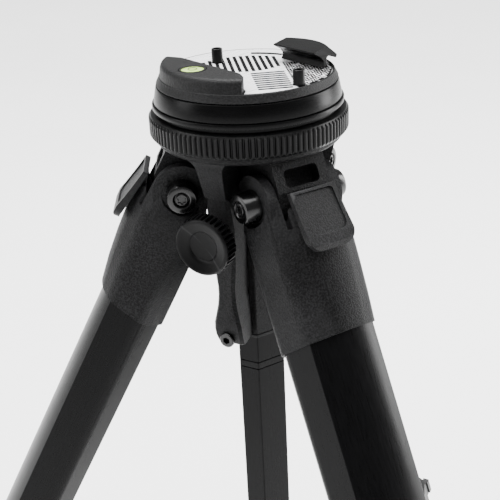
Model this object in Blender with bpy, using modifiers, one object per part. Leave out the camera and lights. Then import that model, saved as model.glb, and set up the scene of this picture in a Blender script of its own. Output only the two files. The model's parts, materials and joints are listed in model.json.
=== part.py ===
"""Travel tripod: apex with three hinged telescopic legs, a sliding faceted centre column,
a knurled pan lock ring and a round quick-release platform with a hooked jaw.

Sizes are in millimetres. Meshes are built in millimetres and scaled to metres when placed.
Heights on the tripod's axis are counted from the lock ring's top edge, which is level 0.
A leg's frame has its origin on the leg's pivot: +X out of the leg's outer face, +Y along the
pivot and +Z up the leg.
"""
import math

import bmesh
import bpy
from mathutils import Matrix, Vector

MM = 0.001
GAP = 0.3                      # gap kept between neighbouring pieces

# Head
RING_R = 38.0                  # the driving dimension: outer radius of the lock ring
RING_H = 8.9
RING_BORE = 33.3
DRUM_LOW_Z = 3.9
DRUM_TOP_Z = 10.2
PLATE_Z = 13.6                 # level of the top plate's face
CREST_Z = 18.7                 # top of the raised crescent
CREST_WALL = 16.6              # distance of the crescent's straight wall from the axis
CREST_END = 24.4               # where the crescent stops along its wall
PLATFORM_AZ = -52.0            # direction of the crescent's wall, degrees from +X
PIN_SPOTS = ((-17.5, 0.0), (29.4, -0.4))
PIN_H = 5.5
JAW_SPAN = (-2.0, 20.9)
JAW_BOW = 3.6                  # how far the jaw's ridge and lip bulge outward at mid-length
VIAL_SPOT = (-1.0, -24.2)
VIAL_BORE_R = 5.3

# Apex
PIVOT_R = 26.8                 # pivot's distance from the axis
PIVOT_Z = -28.5
APEX_TOP_Z = -9.2
SLEEVE_LOW_Z = -92.0
KNOB_AZ = -120.0
KNOB_Z = -42.4
KNOB_FACE_R = 41.1
LUG_HALF = 11.4
SCREW_Z = -88.4                # level of the sleeve's clamp screw
SCREW_SEAT_R = 26.4
PIVOT_BORE_R = 4.3
PIVOT_SHAFT_R = 4.0

# Column, an equiangular hexagon whose wide sides face the legs
COLUMN_WIDE = 8.7
COLUMN_NARROW = 9.9
BAND_TOP_Z = -107.3
BAND_H = 3.0
COLUMN_LOW_Z = -270.0

# Legs
SPLAY = math.radians(27.6)
LEGS = (("left", 180.0), ("right", -60.0), ("back", 60.0))
EAR_R = 11.2
EAR_SPAN = (12.0, 15.8)
COLLAR_LOW_Z = -55.0
TUBE_WALL = 1.4
TUBE_STEP = 1.8                # how much smaller each inner tube is, all round
OUTER_TOP_Z = -20.4            # upper ends of the three tubes, nested
MIDDLE_TOP_Z = -90.0
LOWER_TOP_Z = -120.0
UPPER_CLAMP = (-336.0, -308.0)
LOWER_CLAMP = (-366.0, -340.0)
LEVER_HINGE = (14.3, 11.5)     # on the outer tube's clamp
TAB_HINGE = (15.4, 0.0, -1.6)
FOOT_TOP_Z = -370.0
FOOT_LOW_Z = -394.0


# ---------------------------------------------------------------- scene and materials

def clear_scene():
    for obj in list(bpy.data.objects):
        bpy.data.objects.remove(obj)
    for coll in list(bpy.data.collections):
        bpy.data.collections.remove(coll)


def make_collection(name):
    coll = bpy.data.collections.new(name)
    bpy.context.scene.collection.children.link(coll)
    return coll


def make_material(name, color, roughness, metallic):
    mat = bpy.data.materials.new(name)
    mat.use_nodes = True
    shader = mat.node_tree.nodes["Principled BSDF"]
    shader.inputs["Base Color"].default_value = (*color, 1.0)
    shader.inputs["Roughness"].default_value = roughness
    shader.inputs["Metallic"].default_value = metallic
    return mat


def finishes():
    """Finish name to colour, roughness and metallic value."""
    return {
        "anodised": ((0.022, 0.022, 0.024), 0.38, 0.7),
        "casting": ((0.03, 0.03, 0.032), 0.62, 0.3),
        "leg_tube": ((0.02, 0.02, 0.022), 0.35, 0.1),
        "plastic": ((0.028, 0.028, 0.03), 0.6, 0.0),
        "silver": ((0.80, 0.80, 0.81), 0.32, 0.9),
        "steel": ((0.45, 0.45, 0.46), 0.3, 1.0),
        "vial": ((0.55, 0.75, 0.12), 0.1, 0.0),
        "rubber": ((0.02, 0.02, 0.02), 0.85, 0.0),
    }


# ---------------------------------------------------------------- outlines

def arc(radius, start, end, steps, centre=(0.0, 0.0)):
    """Points on an arc, angles in degrees."""
    span = [math.radians(start + (end - start) * i / steps) for i in range(steps + 1)]
    return [(centre[0] + radius * math.cos(a), centre[1] + radius * math.sin(a)) for a in span]


def offset_outline(points, distance):
    """A convex anticlockwise outline moved outward by a distance."""
    count = len(points)
    moved = []
    for i in range(count):
        before = Vector(points[i - 1])
        here = Vector(points[i])
        after = Vector(points[(i + 1) % count])
        first = (here - before).normalized()
        second = (after - here).normalized()
        normal_a = Vector((first.y, -first.x))
        normal_b = Vector((second.y, -second.x))
        middle = (normal_a + normal_b).normalized()
        moved.append(tuple(here + middle * (distance / middle.dot(normal_a))))
    return moved


def rounded(points, radii, steps=2):
    """An outline whose corners are rounded; a radius of 0 keeps the corner."""
    count = len(points)
    result = []
    for i in range(count):
        here = Vector(points[i])
        if radii[i] <= 0:
            result.append(tuple(here))
            continue
        back = (Vector(points[i - 1]) - here).normalized()
        ahead = (Vector(points[(i + 1) % count]) - here).normalized()
        half = back.angle(ahead) / 2
        reach = radii[i] / math.tan(half)
        centre = here + (back + ahead).normalized() * (radii[i] / math.sin(half))
        start = here + back * reach - centre
        sweep = math.pi - 2 * half
        turn = math.copysign(sweep, back.x * ahead.y - back.y * ahead.x) * -1
        for k in range(steps + 1):
            spun = Matrix.Rotation(turn * k / steps, 2) @ start
            result.append(tuple(centre + spun))
    return result


def leg_outline(grow=0.0):
    """Cross-section of the leg tube: a bowed outer face, flared sides and a wedge inside."""
    crease_x, crease_y, apex_x = 7.5, 14.3, 11.3
    rise = apex_x - crease_x
    radius = (crease_y ** 2 + rise ** 2) / (2 * rise)
    half = math.degrees(math.asin(crease_y / radius))
    bow = arc(radius, -half, half, 6, (apex_x - radius, 0.0))
    corners = [(-6.4, 18.8), (-14.8, 9.2), (-14.8, -9.2), (-6.4, -18.8)]
    outline = offset_outline(bow + corners, grow)
    soft, tight = max(1.0, 5.0 + grow), max(0.5, 2.0 + grow)
    return rounded(outline, [0.0] * len(bow) + [soft, tight, tight, soft])


def column_outline(grow=0.0):
    """Equiangular hexagon with sides at two distances from the axis, at 0, 60, 120 ... degrees."""
    spots = []
    for i in range(6):
        first = COLUMN_NARROW if i % 2 == 0 else COLUMN_WIDE
        second = COLUMN_WIDE if i % 2 == 0 else COLUMN_NARROW
        a = math.radians(60 * i)
        b = math.radians(60 * (i + 1))
        det = math.sin(b - a)
        x = ((first + grow) * math.sin(b) - (second + grow) * math.sin(a)) / det
        y = ((second + grow) * math.cos(a) - (first + grow) * math.cos(b)) / det
        spots.append((x, y))
    return spots


# ---------------------------------------------------------------- solids, as meshes in millimetres

def finish_mesh(bm, name):
    bmesh.ops.recalc_face_normals(bm, faces=bm.faces)
    mesh = bpy.data.meshes.new(name)
    bm.to_mesh(mesh)
    bm.free()
    return mesh


def evaluated_mesh(data, prepare=None):
    """A curve or mesh as a mesh, after the modifiers that prepare adds to its object."""
    obj = bpy.data.objects.new("source", data)
    bpy.context.scene.collection.objects.link(obj)
    if prepare:
        prepare(obj)
    graph = bpy.context.evaluated_depsgraph_get()
    result = bpy.data.meshes.new_from_object(obj.evaluated_get(graph))
    bpy.data.objects.remove(obj)
    return result


def prism(outline, low, high):
    """A flat outline of (x, y) points as a filled curve, extruded between two heights."""
    curve = bpy.data.curves.new("prism", "CURVE")
    curve.dimensions = "2D"
    curve.fill_mode = "BOTH"
    curve.extrude = (high - low) / 2
    spline = curve.splines.new("POLY")
    spline.points.add(len(outline) - 1)
    for point, (x, y) in zip(spline.points, outline):
        point.co = (x, y, 0.0, 1.0)
    spline.use_cyclic_u = True
    bm = bmesh.new()
    bm.from_mesh(evaluated_mesh(curve))
    bmesh.ops.remove_doubles(bm, verts=bm.verts, dist=0.001)
    caps = [f for f in bm.faces if abs(f.normal.z) > 0.5]
    inner = [e for e in bm.edges if len(e.link_faces) == 2 and all(f in caps for f in e.link_faces)]
    bmesh.ops.dissolve_edges(bm, edges=inner, use_verts=False)
    bmesh.ops.translate(bm, verts=bm.verts, vec=(0, 0, (low + high) / 2))
    return finish_mesh(bm, "prism")


def loft(rings):
    """A skin over rings of points that all have the same count, closed at both ends."""
    bm = bmesh.new()
    rows = [[bm.verts.new(p) for p in ring] for ring in rings]
    count = len(rows[0])
    for lower, upper in zip(rows, rows[1:]):
        for i in range(count):
            j = (i + 1) % count
            bm.faces.new((lower[i], lower[j], upper[j], upper[i]))
    bm.faces.new(rows[0][::-1])
    bm.faces.new(rows[-1])
    return finish_mesh(bm, "loft")


def lathe(profile, steps):
    """A closed profile of (radius, height) points turned about Z with a Screw modifier."""
    section = bpy.data.meshes.new("lathe")
    edges = [(i, (i + 1) % len(profile)) for i in range(len(profile))]
    section.from_pydata([(r, 0.0, z) for r, z in profile], edges, [])

    def add_screw(obj):
        screw = obj.modifiers.new("turn", "SCREW")
        screw.steps = steps
        screw.render_steps = steps
        screw.use_merge_vertices = True
        screw.merge_threshold = 0.0001

    bm = bmesh.new()
    bm.from_mesh(evaluated_mesh(section, add_screw))
    bmesh.ops.remove_doubles(bm, verts=bm.verts, dist=0.001)
    bmesh.ops.dissolve_degenerate(bm, edges=bm.edges, dist=0.0005)
    loose = [e for e in bm.edges if not e.link_faces]
    bmesh.ops.delete(bm, geom=loose, context="EDGES")
    return finish_mesh(bm, "lathe")


def cylinder(radius, start, end, steps):
    """A cylinder from one point to another."""
    start, end = Vector(start), Vector(end)
    bm = bmesh.new()
    bmesh.ops.create_cone(bm, cap_ends=True, segments=steps, radius1=radius, radius2=radius,
                          depth=(end - start).length)
    turn = Vector((0, 0, 1)).rotation_difference(end - start).to_matrix().to_4x4()
    bm.transform(Matrix.Translation((start + end) / 2) @ turn)
    return finish_mesh(bm, "cylinder")


def block(low, high):
    low, high = Vector(low), Vector(high)
    bm = bmesh.new()
    bmesh.ops.create_cube(bm, size=1.0)
    bm.transform(Matrix.Translation((low + high) / 2) @ Matrix.Diagonal((*(high - low), 1.0)))
    return finish_mesh(bm, "block")


def moved(mesh, matrix):
    mesh.transform(matrix)
    return mesh


def side_prism(outline, low, high):
    """An outline of (x, z) points, extruded along Y."""
    mesh = prism([(x, -z) for x, z in outline], low, high)
    return moved(mesh, Matrix.Rotation(math.radians(-90), 4, "X"))


def combine(mesh, tool, operation):
    """One exact Boolean of two meshes, as a new mesh."""
    base = bpy.data.objects.new("base", mesh)
    other = bpy.data.objects.new("tool", tool)
    for obj in (base, other):
        bpy.context.scene.collection.objects.link(obj)
    modifier = base.modifiers.new(operation, "BOOLEAN")
    modifier.operation = operation
    modifier.object = other
    modifier.solver = "EXACT"
    graph = bpy.context.evaluated_depsgraph_get()
    result = bpy.data.meshes.new_from_object(base.evaluated_get(graph))
    for obj in (base, other):
        bpy.data.objects.remove(obj)
    return result


def join(mesh, *tools):
    for tool in tools:
        mesh = combine(mesh, tool, "UNION")
    return mesh


def cut(mesh, *tools):
    for tool in tools:
        mesh = combine(mesh, tool, "DIFFERENCE")
    return mesh


def keep(mesh, tool):
    return combine(mesh, tool, "INTERSECT")


def copies_round(mesh, angles):
    """Copies of a mesh turned about Z by the angles, in degrees."""
    result = []
    for angle in angles:
        copy = mesh.copy()
        copy.transform(Matrix.Rotation(math.radians(angle), 4, "Z"))
        result.append(copy)
    return result


# ---------------------------------------------------------------- head

def lock_ring_mesh():
    chamfer = 1.0
    profile = [
        (RING_R, -chamfer), (RING_R, -RING_H), (RING_BORE, -RING_H), (RING_BORE, 0.0),
        (RING_R - chamfer, 0.0),
    ]
    return lathe(profile, 48)


def head_base_mesh():
    radius = RING_BORE - GAP
    profile = [(radius, -0.6), (radius, -RING_H), (0.0, -RING_H), (0.0, -0.6)]
    return lathe(profile, 32)


def index_ring_mesh():
    """The smooth ledge above the lock ring, on a recessed foot."""
    profile = [
        (36.3, 1.7), (36.3, 3.6), (22.0, 3.6), (22.0, GAP), (34.8, GAP), (34.8, 1.7),
    ]
    return lathe(profile, 40)


def drum_mesh():
    top = DRUM_TOP_Z
    low = DRUM_LOW_Z
    drum = lathe([(35.6, low), (34.3, top), (20.6, top), (20.6, low)], 40)
    x, y = PIN_SPOTS[1]
    return cut(drum, cylinder(2.7, (x, y, 7.0), (x, y, 20.0), 12))


def crest_side(inset=0.0):
    """The crescent's plan, grown by -inset: a straight wall that turns outward at both ends."""
    plan = [(-60.0, -60.0), (CREST_END + 0.6, -60.0), (CREST_END, -CREST_WALL - 6.0),
            (CREST_END - 2.8, -CREST_WALL - 2.4), (CREST_END - 7.9, -CREST_WALL),
            (-18.0, -CREST_WALL), (-23.5, -CREST_WALL - 2.4), (-60.0, -CREST_WALL - 9.0)]
    return prism(offset_outline(plan, -inset), 0, 60)


def cap_mesh():
    """Round cap with its raised crescent, hollowed to take the top plate."""
    foot = DRUM_TOP_Z + GAP
    low = lathe([(34.2, foot), (33.2, PLATE_Z), (0.0, PLATE_Z), (0.0, foot)], 40)
    crest = lathe([(33.4, foot + 1.0), (32.7, PLATE_Z), (31.7, CREST_Z - 0.8), (31.0, CREST_Z),
                   (0.0, CREST_Z), (0.0, foot + 1.0)], 40)
    crest = keep(crest, crest_side())
    solid = join(low, crest)
    seat = cut(cylinder(32.3, (0, 0, PLATE_Z - 2.2), (0, 0, PLATE_Z + 9), 40), crest_side(-0.3))
    solid = cut(solid, seat)
    vial_well = cylinder(VIAL_BORE_R, (*VIAL_SPOT, CREST_Z - 3.4), (*VIAL_SPOT, CREST_Z + 2), 16)
    for x, y in PIN_SPOTS:
        solid = cut(solid, cylinder(2.5, (x, y, 5), (x, y, 25), 12))
    return cut(solid, vial_well)


def plate_mesh():
    plate = cylinder(32.0, (0, 0, PLATE_Z - 1.9), (0, 0, PLATE_Z), 40)
    plate = cut(plate, crest_side(-0.6))
    for x, y in PIN_SPOTS:
        plate = cut(plate, cylinder(2.4, (x, y, 0), (x, y, 30), 12))
    return plate


def jaw_mesh():
    """Hooked jaw on a narrow neck: an undercut tip towards the seat and a drooping outer lip."""
    neck = [(22.1, 0.3), (21.3, 3.0), (22.1, 4.5)]
    seat_side = [(15.4, 6.7), (15.3, 6.2), (18.7, 4.2), (19.8, 2.7), (19.7, 1.5), (19.0, 0.3)]
    low, high = JAW_SPAN
    rings = []
    for i in range(9):
        share = i / 8
        bow = JAW_BOW * (1.0 - (2.0 * share - 1.0) ** 2)
        lip = [(26.3 + bow, 2.9), (27.0 + bow, 4.0), (22.0 + bow, 8.0)]
        x = low + (high - low) * share
        rings.append([(x, y, PLATE_Z + z) for y, z in neck + lip + seat_side])
    return loft(rings)


def pin_mesh():
    """Hollow-topped locating pin on a flange under the plate."""
    profile = [(1.3, PIN_H), (1.85, PIN_H), (2.15, PIN_H - 0.4), (2.15, -1.0), (0.0, -1.0),
               (0.0, PIN_H - 1.6), (1.3, PIN_H - 1.6)]
    return lathe(profile, 12)


def vial_mesh():
    profile = [(5.0, -3.0), (0.0, -3.0), (0.0, 0.2), (4.0, 0.0), (5.0, -0.1)]
    return lathe(profile, 16)


# ---------------------------------------------------------------- apex

def lug_mesh():
    """Leg lug on the apex, in the leg's frame, with the window in its outer face."""
    face = 12.0
    nose = arc(10.6, -160, -8, 9)
    outline = nose + [(face, 0.8), (face, 15.0), (-10.0, 26.0), (-16.0, 12.0)]
    lug = side_prism(outline, -LUG_HALF, LUG_HALF)
    window = block((face - 5.0, -7.6, 2.2), (face + 5, 7.6, 9.4))
    bore = cylinder(PIVOT_BORE_R, (0, -30, 0), (0, 30, 0), 14)
    return cut(lug, window, bore)


def leg_matrix(azimuth):
    turn = Matrix.Rotation(math.radians(azimuth), 4, "Z")
    out = Matrix.Translation((PIVOT_R, 0, PIVOT_Z))
    return turn @ out @ Matrix.Rotation(-SPLAY, 4, "Y")


def rib_mesh():
    """A radial rib along +X that flares under the flange."""
    rings = []
    for level, half, reach in ((-28.0, 4.4, 28.6), (-20.0, 5.0, 30.8), (-14.5, 5.6, 32.2),
                               (-11.8, 7.6, 33.2), (APEX_TOP_Z - 0.5, 9.6, 34.2)):
        rings.append([(2.0, -half, level), (reach, -half, level), (reach, half, level), (2.0, half, level)])
    return loft(rings)


def tongue_mesh():
    """The deep rib that carries the lock knob and ends in the clamp screw's boss."""
    rings = []
    for level, half, reach in ((SLEEVE_LOW_Z, 5.4, 22.6), (-88.0, 6.2, 25.4), (-82.0, 6.0, 26.2),
                               (-74.0, 4.2, 25.8), (-66.0, 3.8, 25.6), (-56.0, 4.8, 25.8),
                               (-40.0, 5.6, 26.6), (-28.0, 4.8, 28.2)):
        root = min(half, 3.2)
        rings.append([(9.0, -root, level), (reach - 1.2, -half, level), (reach, -half + 1.2, level),
                      (reach, half - 1.2, level), (reach - 1.2, half, level), (9.0, root, level)])
    return loft(rings)


def apex_mesh():
    """Sleeve, flange, ribs, lugs and the knob's tongue in one casting."""
    sleeve = prism(column_outline(2.7), SLEEVE_LOW_Z, APEX_TOP_Z)
    flange = lathe([(35.6, APEX_TOP_Z), (35.6, -11.2), (33.5, -12.2), (0.0, -12.2), (0.0, APEX_TOP_Z)], 40)
    solid = join(sleeve, flange, *copies_round(rib_mesh(), (0, 120, 240)))
    solid = join(solid, *copies_round(tongue_mesh(), (KNOB_AZ,)))
    above = block((-60, -60, APEX_TOP_Z - 1.0), (60, 60, 60))
    lug = lug_mesh()
    for _, azimuth in LEGS:
        solid = join(solid, cut(moved(lug.copy(), leg_matrix(azimuth)), above.copy()))
    bore = prism(column_outline(1.6), SLEEVE_LOW_Z - 5, 5)
    knob_bore = cylinder(3.4, (0, 0, KNOB_Z), (40, 0, KNOB_Z), 16)
    screw_bore = cylinder(2.4, (16, 0, SCREW_Z), (40, 0, SCREW_Z), 12)
    radial = copies_round(knob_bore, (KNOB_AZ,)) + copies_round(screw_bore, (KNOB_AZ,))
    return cut(solid, bore, *radial)


def bushing_mesh():
    """Guide sleeve for the column, with a flange under the casting."""
    tube = prism(column_outline(1.3), SLEEVE_LOW_Z - GAP, SLEEVE_LOW_Z + 14)
    flange = prism(column_outline(2.8), SLEEVE_LOW_Z - 1.6, SLEEVE_LOW_Z - GAP)
    return cut(join(tube, flange), prism(column_outline(0.3), SLEEVE_LOW_Z - 9, SLEEVE_LOW_Z + 20))


def knob_mesh():
    """Dished lock knob and its shaft, turned about Z, with its face upward at 0."""
    profile = [
        (11.4, -1.2), (11.4, -7.2), (5.4, -7.4), (5.0, -13.2), (3.0, -13.4), (3.0, -27.0), (0.0, -27.0),
        (0.0, -1.3), (5.4, -1.2), (9.4, 0.0), (10.4, 0.0),
    ]
    return lathe(profile, 24)


def screw_mesh():
    """Socket screw of the sleeve, turned about Z, with its head upward at 0."""
    profile = [
        (1.4, -1.2), (1.4, 0.9), (3.1, 0.7), (3.1, -0.6), (2.0, -0.6), (2.0, -6.0), (0.0, -6.0),
        (0.0, -1.2),
    ]
    return lathe(profile, 12)


def pivot_bolt_mesh():
    """Leg pivot along Y: a shaft through lug and ears with a bushing head at each end."""
    half = [
        (0.0, 22.2), (5.1, 22.2), (5.6, 21.6), (6.2, EAR_SPAN[1] + GAP),
        (PIVOT_SHAFT_R, EAR_SPAN[1] + GAP),
    ]
    profile = half + [(r, -z) for r, z in reversed(half)]
    return moved(lathe(profile, 14), Matrix.Rotation(math.radians(90), 4, "X"))


# ---------------------------------------------------------------- column

def column_tube(low, high, wall=1.5):
    return cut(prism(column_outline(), low, high), prism(column_outline(-wall), low - 5, high + 5))


def end_cap_mesh():
    body = prism(column_outline(1.2), COLUMN_LOW_Z - 9.0, COLUMN_LOW_Z - GAP)
    return cut(body, cylinder(3.2, (0, 0, COLUMN_LOW_Z - 12), (0, 0, COLUMN_LOW_Z - 5), 20))


# ---------------------------------------------------------------- legs

def collar_ring(level, lean, apex_x, crease, flank, heel, toe):
    """One ring of the collar's skin. The level is at the outer face and falls inward by lean."""
    crease_x, crease_y = crease
    rise = apex_x - crease_x
    radius = (crease_y ** 2 + rise ** 2) / (2 * rise)
    half = math.degrees(math.asin(crease_y / radius))
    right = [flank, heel, toe]
    outline = arc(radius, -half, half, 6, (apex_x - radius, 0.0)) + right
    outline += [(x, -y) for x, y in reversed(right)]
    return [(x, y, level - (apex_x - x) * lean) for x, y in outline]


def collar_mesh():
    """Leg collar: ears for the pivot, a pocket for the lug and a socket for the tube."""
    rings = [
        collar_ring(COLLAR_LOW_Z, 0.0, 12.9, (8.4, 15.5), (-6.2, 20.0), (-11.2, 15.2), (-15.9, 9.9)),
        collar_ring(-42.0, 0.0, 14.5, (9.0, 15.9), (-6.3, 20.0), (-11.3, 15.1), (-15.8, 10.2)),
        collar_ring(-30.0, 0.0, 15.5, (9.2, 16.3), (-6.4, 20.0), (-11.5, 15.1), (-15.6, 10.6)),
        collar_ring(-19.0, -0.28, 16.0, (9.4, 16.6), (-6.4, 20.0), (-11.6, 15.0), (-15.6, 10.8)),
        collar_ring(-8.0, 0.10, 15.6, (9.2, 16.2), (-6.2, 18.9), (-11.3, 14.5), (-15.2, 10.8)),
        collar_ring(-0.6, 0.17, 15.0, (9.0, 15.9), (-6.0, 16.6), (-10.4, 13.8), (-14.0, 10.8)),
    ]
    solid = loft(rings)
    for side in (-1, 1):
        solid = join(solid, cylinder(EAR_R, (0, side * 11.0, 0), (0, side * EAR_SPAN[1], 0), 28))
    pocket = cylinder(13.8, (0, -EAR_SPAN[0], 0), (0, EAR_SPAN[0], 0), 32)
    throat = block((-20, -EAR_SPAN[0], 0), (13.7, EAR_SPAN[0], 40))
    heel = block((-30, -EAR_SPAN[0], -11), (-2, EAR_SPAN[0], 30))
    solid = cut(solid, pocket, throat, heel, cylinder(PIVOT_BORE_R, (0, -40, 0), (0, 40, 0), 14))
    bed = [(12.6, 30), (12.6, -4.0), (14.4, -6.5), (15.0, -9.5), (16.5, -17.0), (16.9, -20.5), (16.9, -24.0),
           (40.0, -24.0), (40.0, 30.0)]
    solid = cut(solid, side_prism(bed, -10.4, 10.4))
    for side in (-1, 1):
        recess = cylinder(7.9, (0, side * EAR_SPAN[1], 0), (0, side * 30, 0), 20)
        solid = cut(solid, recess)
    return cut(solid, prism(leg_outline(GAP), COLLAR_LOW_Z - 5, OUTER_TOP_Z + 0.4))


def tube_mesh(grow, low, high):
    return cut(prism(leg_outline(grow), low, high), prism(leg_outline(grow - TUBE_WALL), low - 5, high + 5))


def clamp_mesh(grow, low, high):
    """Clamp housing on the lower end of a tube, closing down onto the next one."""
    split = low + 10.0
    body = prism(leg_outline(grow + 2.4), low, high)
    x, y = LEVER_HINGE[0] + grow, LEVER_HINGE[1]
    for start, end in ((low + 4.0, low + 6.7), (high - 6.7, high - 4.0)):
        knuckle = cylinder(2.2, (x, y, start), (x, y, end), 14)
        web = block((x - 6.0, y - 2.0, start), (x, y + 2.0, end))
        body = join(body, join(knuckle, web))
    body = cut(body, prism(leg_outline(grow + GAP), split, high + 5))
    return cut(body, prism(leg_outline(grow - TUBE_STEP + 0.4), low - 5, split + 1))


def lever_mesh(grow, low, high):
    """Flip lever across the outer face, hinged along the leg's direction."""
    inner = leg_outline(grow + 3.0)
    outer = leg_outline(grow + 5.4)
    band = cut(prism(outer, low + 7.0, high - 7.0), prism(inner, low, high))
    x, y = LEVER_HINGE[0] + grow, LEVER_HINGE[1]
    band = keep(band, block((5.0, -15.2, low), (40, y, high)))
    knuckle = cylinder(2.2, (x, y, low + 7.0), (x, y, high - 7.0), 14)
    grip = block((13.0 + grow, -16.0, low + 7.0), (15.6 + grow, -12.5, high - 7.0))
    return join(band, knuckle, grip)


def tab_mesh():
    """Angle stop tab in the leg's frame: thin at its hinge, with a flared lip below."""
    outline = [
        (14.2, 0.2), (14.5, -2.4), (15.7, -9.0), (17.0, -16.6), (17.6, -20.4), (17.3, -22.8), (19.2, -22.6),
        (20.4, -20.6), (20.3, -17.4), (18.6, -11.0), (17.0, -4.0), (16.2, 0.2),
    ]
    plan = [(-9.6, 0.5), (-10.0, -22.6), (10.0, -22.6), (9.6, 0.5)]
    edge = rounded(plan, [0, 5.6, 5.6, 0], 4)
    face = moved(prism(edge, 5.0, 30.0), Matrix.Rotation(math.radians(90), 4, "X"))
    face = moved(face, Matrix.Rotation(math.radians(90), 4, "Z"))
    return keep(side_prism(outline, -10.0, 10.0), face)


def foot_mesh(grow):
    """Rubber foot: a cup round the tube's end that closes to a rounded tip."""
    outline = leg_outline(grow + 1.7)
    length = FOOT_TOP_Z - FOOT_LOW_Z
    rings = []
    for share in (0.0, 0.5, 0.8, 1.0):
        scale = 1.0 if share <= 0.5 else math.sqrt(max(0.0, 1.0 - ((share - 0.5) / 0.52) ** 2))
        rings.append([(x * scale, y * scale, FOOT_TOP_Z - share * length) for x, y in outline])
    solid = loft(rings)
    return cut(solid, prism(leg_outline(grow + GAP), FOOT_TOP_Z - 8.0, FOOT_TOP_Z + 5))


# ---------------------------------------------------------------- assembly

def empty(name, matrix, parent=None):
    """An empty whose own matrix is in metres, relative to its parent."""
    obj = bpy.data.objects.new(name, None)
    obj.empty_display_size = 0.01
    bpy.context.scene.collection.objects.link(obj)
    obj.parent = parent
    place = matrix.copy()
    place.translation = place.translation * MM
    obj.matrix_basis = place
    return obj


class Builder:
    def __init__(self, parts, materials):
        self.parts = parts
        self.materials = materials
        self.scaled = {}

    def add(self, name, mesh, finish, parent, origin=(0, 0, 0)):
        """Place a mesh under its parent. The origin is where the object's own origin goes."""
        key = (mesh.name, tuple(origin))
        if key not in self.scaled:
            copy = mesh.copy()
            copy.transform(Matrix.Diagonal((MM, MM, MM, 1.0)) @ Matrix.Translation(-Vector(origin)))
            copy.materials.clear()
            copy.materials.append(self.materials[finish])
            copy.shade_smooth()
            copy.set_sharp_from_angle(angle=math.radians(32))
            self.scaled[key] = copy
        obj = bpy.data.objects.new(name, self.scaled[key])
        self.parts.objects.link(obj)
        obj.parent = parent
        obj.location = Vector(origin) * MM
        return obj


def build_head(builder, root):
    platform = empty("platform_axis", Matrix.Rotation(math.radians(PLATFORM_AZ), 4, "Z"), root)
    builder.add("lock_ring", lock_ring_mesh(), "anodised", root)
    builder.add("head_base", head_base_mesh(), "anodised", root)
    builder.add("index_ring", index_ring_mesh(), "anodised", platform)
    builder.add("platform_drum", drum_mesh(), "anodised", platform)
    builder.add("platform_cap", cap_mesh(), "plastic", platform)
    builder.add("top_plate", plate_mesh(), "silver", platform)
    builder.add("hook_jaw", jaw_mesh(), "anodised", platform)
    vial = moved(vial_mesh(), Matrix.Translation((*VIAL_SPOT, CREST_Z)))
    builder.add("bubble_vial", vial, "vial", platform)
    pin = pin_mesh()
    for number, (x, y) in enumerate(PIN_SPOTS, 1):
        spot = empty(f"pin_axis_{number}", Matrix.Translation((x, y, PLATE_Z)), platform)
        builder.add(f"register_pin_{number}", pin, "anodised", spot)


def build_apex(builder, root):
    builder.add("apex_casting", apex_mesh(), "casting", root)
    builder.add("column_bushing", bushing_mesh(), "plastic", root)
    turn = Matrix.Rotation(math.radians(KNOB_AZ), 4, "Z")
    tip = Matrix.Rotation(math.radians(90), 4, "Y")
    knob_axis = empty("knob_axis", turn @ Matrix.Translation((KNOB_FACE_R, 0, KNOB_Z)) @ tip, root)
    builder.add("column_lock_knob", knob_mesh(), "anodised", knob_axis)
    screw_axis = empty("screw_axis", turn @ Matrix.Translation((SCREW_SEAT_R, 0, SCREW_Z)) @ tip, root)
    builder.add("sleeve_screw", screw_mesh(), "steel", screw_axis)


def build_column(builder, root):
    builder.add("column_upper", column_tube(BAND_TOP_Z + GAP, APEX_TOP_Z), "leg_tube", root)
    builder.add("column_band", column_tube(BAND_TOP_Z - BAND_H, BAND_TOP_Z), "anodised", root)
    builder.add("column_lower", column_tube(COLUMN_LOW_Z, BAND_TOP_Z - BAND_H - GAP), "leg_tube", root)
    builder.add("column_end_cap", end_cap_mesh(), "plastic", root)


def build_legs(builder, root):
    middle, inner = -TUBE_STEP, -2 * TUBE_STEP
    pieces = {
        "pivot_bolt": (pivot_bolt_mesh(), "steel"),
        "collar": (collar_mesh(), "casting"),
        "tube_outer": (tube_mesh(0.0, UPPER_CLAMP[0] + 11.3, OUTER_TOP_Z), "leg_tube"),
        "clamp_upper": (clamp_mesh(0.0, *UPPER_CLAMP), "plastic"),
        "tube_middle": (tube_mesh(middle, LOWER_CLAMP[0] + 11.3, MIDDLE_TOP_Z), "leg_tube"),
        "clamp_lower": (clamp_mesh(middle, *LOWER_CLAMP), "plastic"),
        "tube_lower": (tube_mesh(inner, FOOT_TOP_Z - 7.7, LOWER_TOP_Z), "leg_tube"),
        "foot": (foot_mesh(inner), "rubber"),
    }
    tab = tab_mesh()
    levers = {
        "lever_upper": (lever_mesh(0.0, *UPPER_CLAMP), 0.0),
        "lever_lower": (lever_mesh(middle, *LOWER_CLAMP), middle),
    }
    for side, azimuth in LEGS:
        pivot = empty(f"leg_pivot_{side}", leg_matrix(azimuth), root)
        for name, (mesh, finish) in pieces.items():
            builder.add(f"{name}_{side}", mesh, finish, pivot)
        builder.add(f"angle_tab_{side}", tab, "casting", pivot, TAB_HINGE)
        for name, (mesh, grow) in levers.items():
            hinge = (LEVER_HINGE[0] + grow, LEVER_HINGE[1], 0.0)
            builder.add(f"{name}_{side}", mesh, "anodised", pivot, hinge)


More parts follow.
